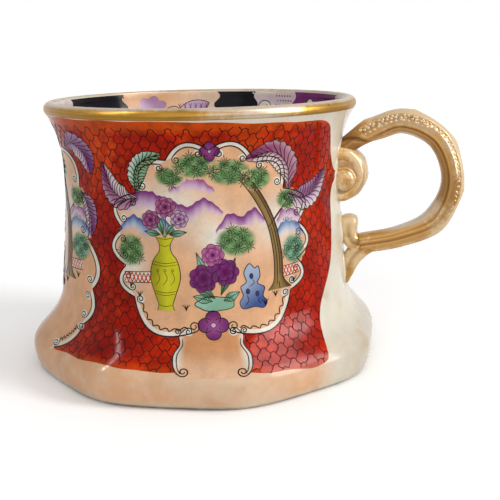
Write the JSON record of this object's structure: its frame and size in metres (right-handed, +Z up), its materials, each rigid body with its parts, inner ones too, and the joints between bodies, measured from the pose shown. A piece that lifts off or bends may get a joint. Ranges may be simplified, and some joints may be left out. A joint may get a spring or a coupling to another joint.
{
  "type": "cider mug",
  "caption": "Large pottery mug with a round body on a spreading eight-sided foot, an everted gilt lip, and a moulded scroll handle for two fingers.",
  "frame": {"origin": "middle of the foot, on the flat underside that rests on the table", "axes": "+Z up through the mouth, +X towards the handle, +Y across the handle"},
  "size_m": [0.1814, 0.145, 0.11],
  "materials": {
    "glaze": "glossy lead glaze over painted stoneware",
    "gilt": "worn gilding",
    "lustre": "worn gold lustre",
    "slip": "glazed slip"
  },
  "bodies": {
    "root": {"body_wall": "glaze", "base_plate": "glaze", "rim_gilding": "gilt", "handle_loop": "lustre", "upper_scroll": "lustre", "lower_scroll": "lustre", "tail_leaf": "lustre", "slip_bed_root": "slip", "slip_bed_upper_scroll": "slip", "slip_bed_lower_scroll": "slip", "slip_bed_tail": "slip"}
  },
  "joints": []
}
